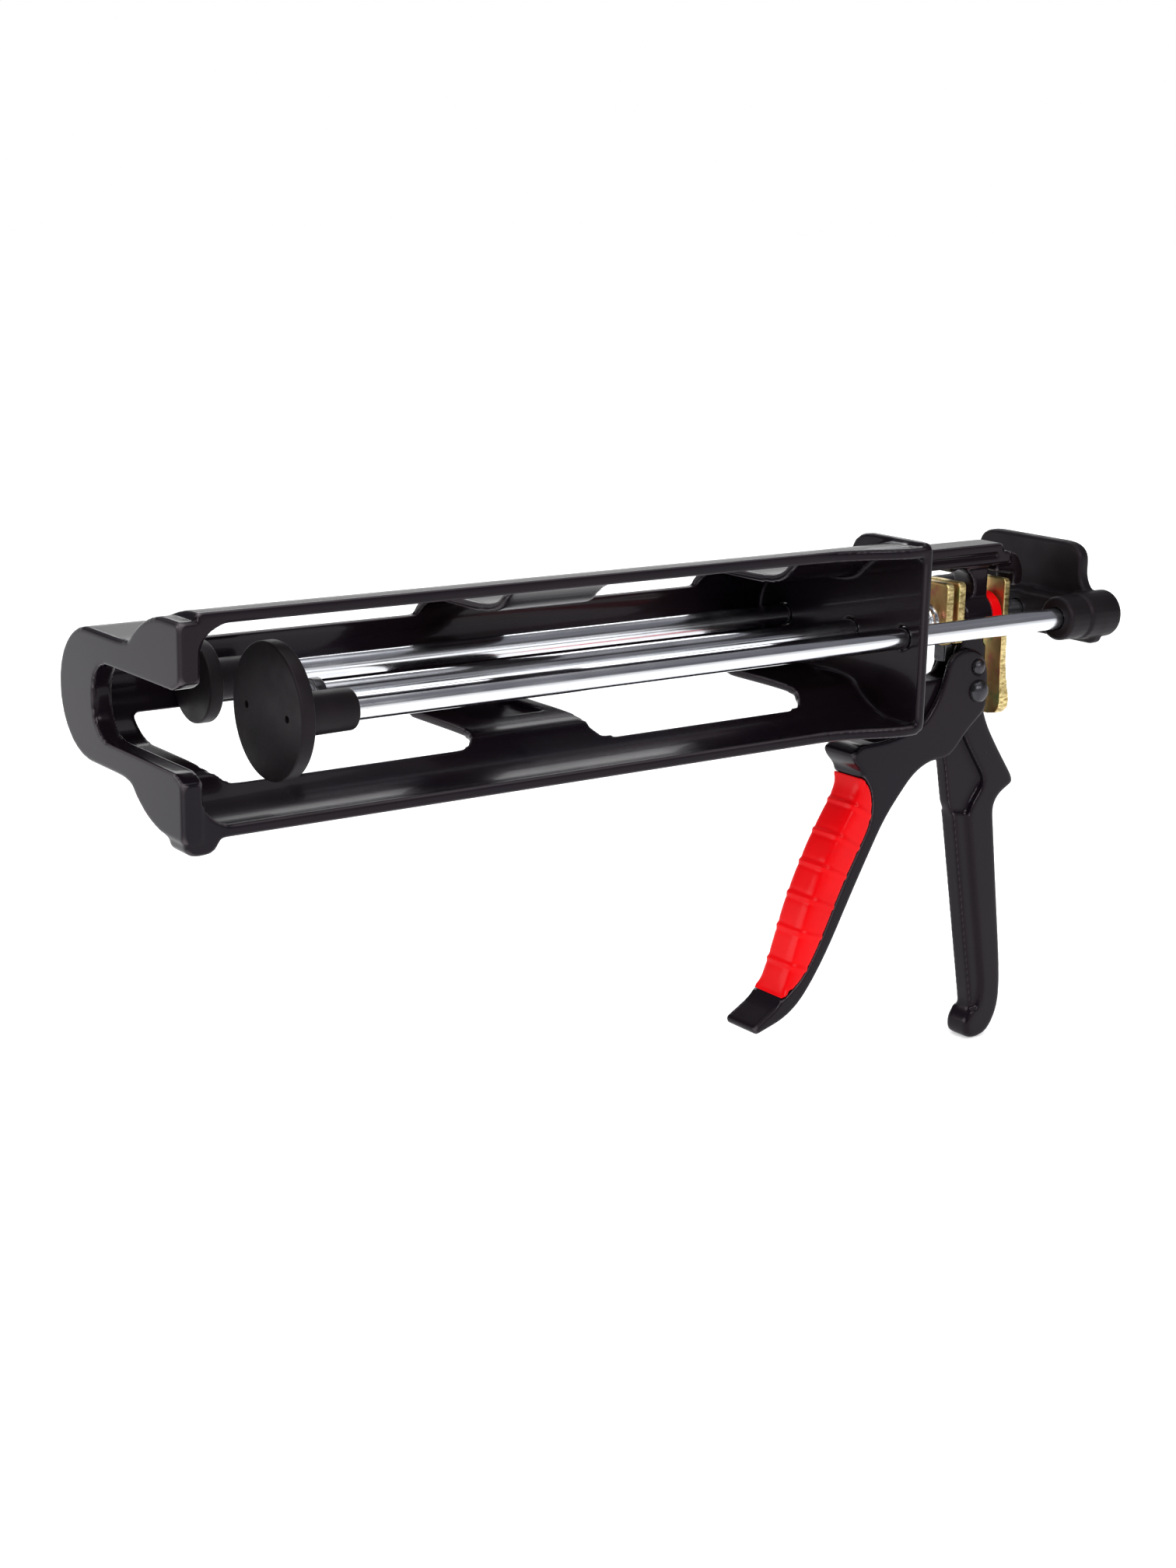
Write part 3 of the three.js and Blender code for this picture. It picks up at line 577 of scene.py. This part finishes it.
class Sleeve:
    """The ribbed sleeve on the trigger, and where each point of its skin lies."""

    def __init__(self, node):
        self.node = node
        self.low, self.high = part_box(node)
        self.centre_y = middle(node).y
        self.line = FrontLine(node)
        self.skin = cast(node, 0.55 * MM, 3)
        self.rear_edge = tree_of([v.co.copy() for v in self.skin.data.vertices if self.is_rear(v)])

    def place_of(self, spot):
        """How far along the front line, behind it, in from a side and in from an end."""
        along, depth = self.line.nearest(spot.x, spot.z)
        side = (self.high[1] - self.low[1]) / 2 - abs(spot.y - self.centre_y)
        return along, depth, side, min(spot.z - self.low[2], self.high[2] - spot.z)

    def is_rear(self, vertex):
        return vertex.normal.x > 0.5 and self.place_of(vertex.co)[1] > 3.5 * MM

    def edge_weight(self, spot):
        """Full near the two front edges, and none by the ends and the rear edge."""
        _, depth, side, ends = self.place_of(spot)
        to_rear = self.rear_edge.find(spot)[2]
        return min(3 - 3 * math.hypot(depth, side) / SOFT_EDGE, (ends - 1.5 * MM) / (3 * MM),
                   (to_rear - MM) / (2 * MM))

    def rib_at(self, spot):
        along, depth, side, ends = self.place_of(spot)
        return rib_height(along) if min(depth, side) < SKIN_DEPTH and ends > MM else 0

    def shape(self):
        """Wears the two front edges round and raises the ribs across them."""
        heights = [self.rib_at(vertex.co) for vertex in self.skin.data.vertices]
        soften(self.skin, SOFT_PASSES, self.edge_weight)
        vertices = self.skin.data.vertices
        normals = [vertex.normal.copy() for vertex in vertices]
        for vertex, normal, height in zip(vertices, normals, heights):
            vertex.co += normal * height
        smooth = self.skin.modifiers.new("smooth", "SMOOTH")
        smooth.iterations = 2
        finish_piece(applied(self.skin), self.node, sharp=70)


# ---- rods, discs and stop --------------------------------------------------------------
DISC_THICK = 5 * MM
DISC_EDGE = 0.7 * MM
HUB_R = 7 * MM
HUB_ROOT = 1.4 * MM
HUB_END = 1.2 * MM
HUB_TAPER = 0.3 * MM
HUB_CUP = 3 * MM            # how deep the mouth of the hub is
PIN_HOLE = {"radius": 1.2 * MM, "depth": 2 * MM}


def span_and_radius(node):
    """Where a node that is round about X starts and ends along X, and its radius."""
    low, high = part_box(node)
    return low[0], high[0], (high[2] - low[2]) / 2


def add_rods():
    edge = 0.6 * MM
    for node in ("large_push_rod", "drive_rod", "small_push_rod"):
        x0, x1, radius = span_and_radius(node)
        centre = middle(node)
        profile = [(x0, 0), (x0, radius - edge), (x0 + edge, radius), (x1 - edge, radius),
                   (x1, radius - edge), (x1, 0)]
        rod = turned(f"{node}_bar", profile, "x", (0, centre.y, centre.z))
        finish_piece(rod, node)


def rounded_rim(x0, x1, radius, edge):
    """Points over a rim of this radius, from x0 to x1, with both corners rounded."""
    rise = rounded((x0 + edge, radius - edge), edge, 180, 90)
    return rise + rounded((x1 - edge, radius - edge), edge, 90, 0)


def hub_profile(x0, x1, radius):
    """Hub behind a disc: a short fillet at its root and a rounded end."""
    fillet = [(x0 + HUB_ROOT - HUB_ROOT * math.cos(t), radius + HUB_ROOT - HUB_ROOT * math.sin(t))
              for t in (math.pi / 2 * i / 5 for i in range(6))]
    nose = rounded((x1 - HUB_END, radius - HUB_TAPER - HUB_END), HUB_END, 90, 0)
    return fillet + nose


def pin_hole_cutter(face, y, z):
    radius = PIN_HOLE["radius"]
    start, end = face - MM, face + PIN_HOLE["depth"]
    profile = [(start, 0), (start, radius), (end, radius), (end, 0)]
    return turned("cutter", profile, "x", (0, y, z), segments=32)


def add_disc(node, rod, pin_circle=0):
    low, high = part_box(node)
    centre, axis = middle(node), middle(rod)
    x0, back, end = low[0], low[0] + DISC_THICK, high[0]
    plate = [(x0, 0), (x0, (high[1] - low[1]) / 2 - DISC_EDGE)]
    plate += rounded_rim(x0, back, (high[1] - low[1]) / 2, DISC_EDGE) + [(back, 0)]
    disc = turned(f"{node}_face", plate, "x", (0, centre.y, centre.z), segments=128)
    if pin_circle:
        cut_away(disc, [pin_hole_cutter(x0, centre.y + side * pin_circle, centre.z)
                        for side in (-1, 1)])
    finish_piece(disc, node)
    bore = ROD_R + FIT
    hub = [(back - MM, 0), (back - MM, HUB_R + HUB_ROOT)] + hub_profile(back, end, HUB_R)
    hub += [(end, bore), (end - HUB_CUP, bore), (end - HUB_CUP, 0)]
    sleeve = turned(f"{node}_hub", hub, "x", (0, axis.y, axis.z))
    finish_piece(sleeve, node)


def add_rod_stop():
    node = "drive_rod_stop"
    x0, x1, radius = span_and_radius(node)
    centre = middle(node)
    bore, edge = ROD_R + 0.05 * MM, 0.7 * MM
    profile = [(x0, bore), (x0, radius - edge)] + rounded_rim(x0, x1, radius, edge) + [(x1, bore)]
    ring = turned(f"{node}_ring", profile, "x", (0, centre.y, centre.z), closed=True)
    finish_piece(ring, node)


# ---- yoke ------------------------------------------------------------------------------
def add_yoke():
    finish_piece(cast("yoke", 0.6 * MM, 4), "yoke", sharp=60)


# ---- fasteners -------------------------------------------------------------------------
SCREW = {"head": 2.6 * MM, "rim": 0.6 * MM, "tip": 0.4 * MM, "socket": 1.5 * MM}


def add_screws():
    """Socket head screws: a head with a rounded rim and a hexagon socket, on a plain shank."""
    tip = SCREW["tip"]
    for node in [node for node in BODY_OF if "screw" in node]:
        x0, x1, radius = span_and_radius(node)
        centre = middle(node)
        shank, seat, rim = radius * 0.55, x1 - SCREW["head"], SCREW["rim"]
        profile = [(x0, 0), (x0, shank - tip), (x0 + tip, shank), (seat, shank)]
        profile += [(seat, radius - BEVEL), (seat + BEVEL, radius)]
        profile += rounded((x1 - rim, radius - rim), rim, 90, 0) + [(x1, 0)]
        place = (0, centre.y, centre.z)
        screw = turned(f"{node}_body", profile, "x", place, segments=64)
        cut_away(screw, [hex_prism(place, radius * 0.5, x1 - SCREW["socket"], x1 + MM)])
        finish_piece(screw, node)


PIN_SHANK = {"pivot_pin": 3 * MM, "pusher_pin": 2.6 * MM}
PIN_TIP = 0.4 * MM
DOME_STEPS = 8
CLIP_EDGE = 0.2 * MM
CLIP_MOUTH = 1.2 * MM       # half of the gap that lets the clip over its groove


def add_pin(node):
    """A pin along Y with a domed head on the near side and a chamfered far end."""
    low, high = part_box(node)
    centre = middle(node)
    shank = PIN_SHANK[node]
    head = (high[0] - low[0]) / 2
    y0, y1 = low[1], high[1]
    height = 0.75 * head
    rim = y0 + height
    profile = [(y0, 0)]
    for i in range(1, DOME_STEPS + 1):
        angle = math.pi / 2 * (1 - i / DOME_STEPS)
        profile.append((rim - height * math.sin(angle), head * math.cos(angle)))
    profile += [(rim + 0.2 * MM, head), (rim + 0.2 * MM, shank)]
    profile += [(y1 - PIN_TIP, shank), (y1, shank - PIN_TIP), (y1, 0)]
    pin = turned(f"{node}_body", profile, "y", (centre.x, 0, centre.z), segments=64)
    finish_piece(pin, node)


def box_cutter(low, high):
    shape = bmesh.new()
    size = high - low
    place = Matrix.Translation((low + high) / 2) @ Matrix.Diagonal((*size, 1))
    bmesh.ops.create_cube(shape, size=1, matrix=place)
    mesh = bpy.data.meshes.new("cutter")
    shape.to_mesh(mesh)
    shape.free()
    return mesh_object("cutter", mesh)


def add_clip(pin):
    """A retaining ring in the pin's groove, open at the bottom."""
    node = f"{pin}_clip"
    low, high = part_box(node)
    centre = middle(node)
    outer = (high[0] - low[0]) / 2
    y0, y1 = low[1], high[1]
    bore = PIN_SHANK[pin] + 0.05 * MM
    profile = [(y0, bore), (y0, outer - CLIP_EDGE), (y0 + CLIP_EDGE, outer),
               (y1 - CLIP_EDGE, outer), (y1, outer - CLIP_EDGE), (y1, bore)]
    clip = turned(f"{node}_ring", profile, "y", (centre.x, 0, centre.z), segments=64, closed=True)
    mouth_low = Vector((centre.x - CLIP_MOUTH, y0 - MM, centre.z - outer - MM))
    mouth_high = Vector((centre.x + CLIP_MOUTH, y1 + MM, centre.z - bore * 0.6))
    cut_away(clip, [box_cutter(mouth_low, mouth_high)])
    finish_piece(clip, node)


# ---- plates, cup and springs -------------------------------------------------------------
def add_plates():
    for node in ("grip_plate_1", "grip_plate_2", "release_plate", "drive_lug"):
        finish_piece(cast(node, 0.35 * MM, 2), node, sharp=50)


def add_cup():
    """The red cup on the drive rod, open towards the release plate."""
    node = "brake_spring_cup"
    x0, x1, radius = span_and_radius(node)
    centre = middle(node)
    edge, wall, floor = 0.6 * MM, 1.9 * MM, MM
    bore = ROD_R + 0.6 * MM
    profile = [(x0, bore), (x0, radius - BEVEL), (x0 + BEVEL, radius)]
    profile += rounded((x1 - edge, radius - edge), edge, 90, 0)
    profile += [(x1, radius - wall), (x0 + floor, radius - wall - 0.2 * MM), (x0 + floor, bore)]
    cup = turned(f"{node}_shell", profile, "x", (0, centre.y, centre.z), closed=True)
    finish_piece(cup, node)


def coil_points(start, length, centre, radius, wire, turns, end_turns=1, per_turn=40):
    """Centre line of a coil along X, whose first and last turns lie closed."""
    closed = 2 * wire * end_turns
    points = []
    for i in range((turns + 2 * end_turns) * per_turn + 1):
        turn = i / per_turn
        lead = min(turn, end_turns) * 2 * wire
        tail = max(0, turn - end_turns - turns) * 2 * wire
        body = (length - 2 * closed) * max(0, min(1, (turn - end_turns) / turns))
        angle = 2 * math.pi * turn
        points.append((start + lead + body + tail, centre.y + radius * math.cos(angle),
                       centre.z + radius * math.sin(angle)))
    return points


def wire_mesh(points, wire):
    """A round wire of this radius along the points."""
    curve = bpy.data.curves.new("wire", "CURVE")
    curve.dimensions = "3D"
    curve.bevel_depth = wire
    curve.bevel_resolution = 3
    curve.use_fill_caps = True
    line = curve.splines.new("POLY")
    line.points.add(len(points) - 1)
    for spot, point in zip(line.points, points):
        spot.co = (*point, 1)
    path = mesh_object("wire", curve)
    depsgraph = bpy.context.evaluated_depsgraph_get()
    mesh = bpy.data.meshes.new_from_object(path.evaluated_get(depsgraph))
    bpy.data.objects.remove(path)
    return mesh


def add_spring(node, wire, turns):
    """A wire coil over the node's length, with its first and last turns lying closed."""
    low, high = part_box(node)
    centre = middle(node)
    points = coil_points(low[0] + wire, high[0] - low[0] - 2 * wire, centre,
                         (high[2] - low[2]) / 2 - wire, wire, turns)
    coil = mesh_object(f"{node}_coil", wire_mesh(points, wire))
    finish_piece(coil, node)
    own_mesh(coil)


# ---- the whole gun -------------------------------------------------------------------------
add_camera()
add_studio()
add_floor(pale_floor())
add_castings()
Sleeve("trigger_grip_sleeve").shape()
add_rods()
add_disc("large_piston_disc", "large_push_rod", pin_circle=12.6 * MM)
add_disc("small_piston_disc", "small_push_rod")
add_rod_stop()
add_yoke()
add_screws()
for pin_node in PIN_SHANK:
    add_pin(pin_node)
for pin_node in PIN_SHANK:
    add_clip(pin_node)
add_plates()
add_cup()
add_spring("main_spring", 0.8 * MM, 7)
add_spring("brake_spring", 0.5 * MM, 2)
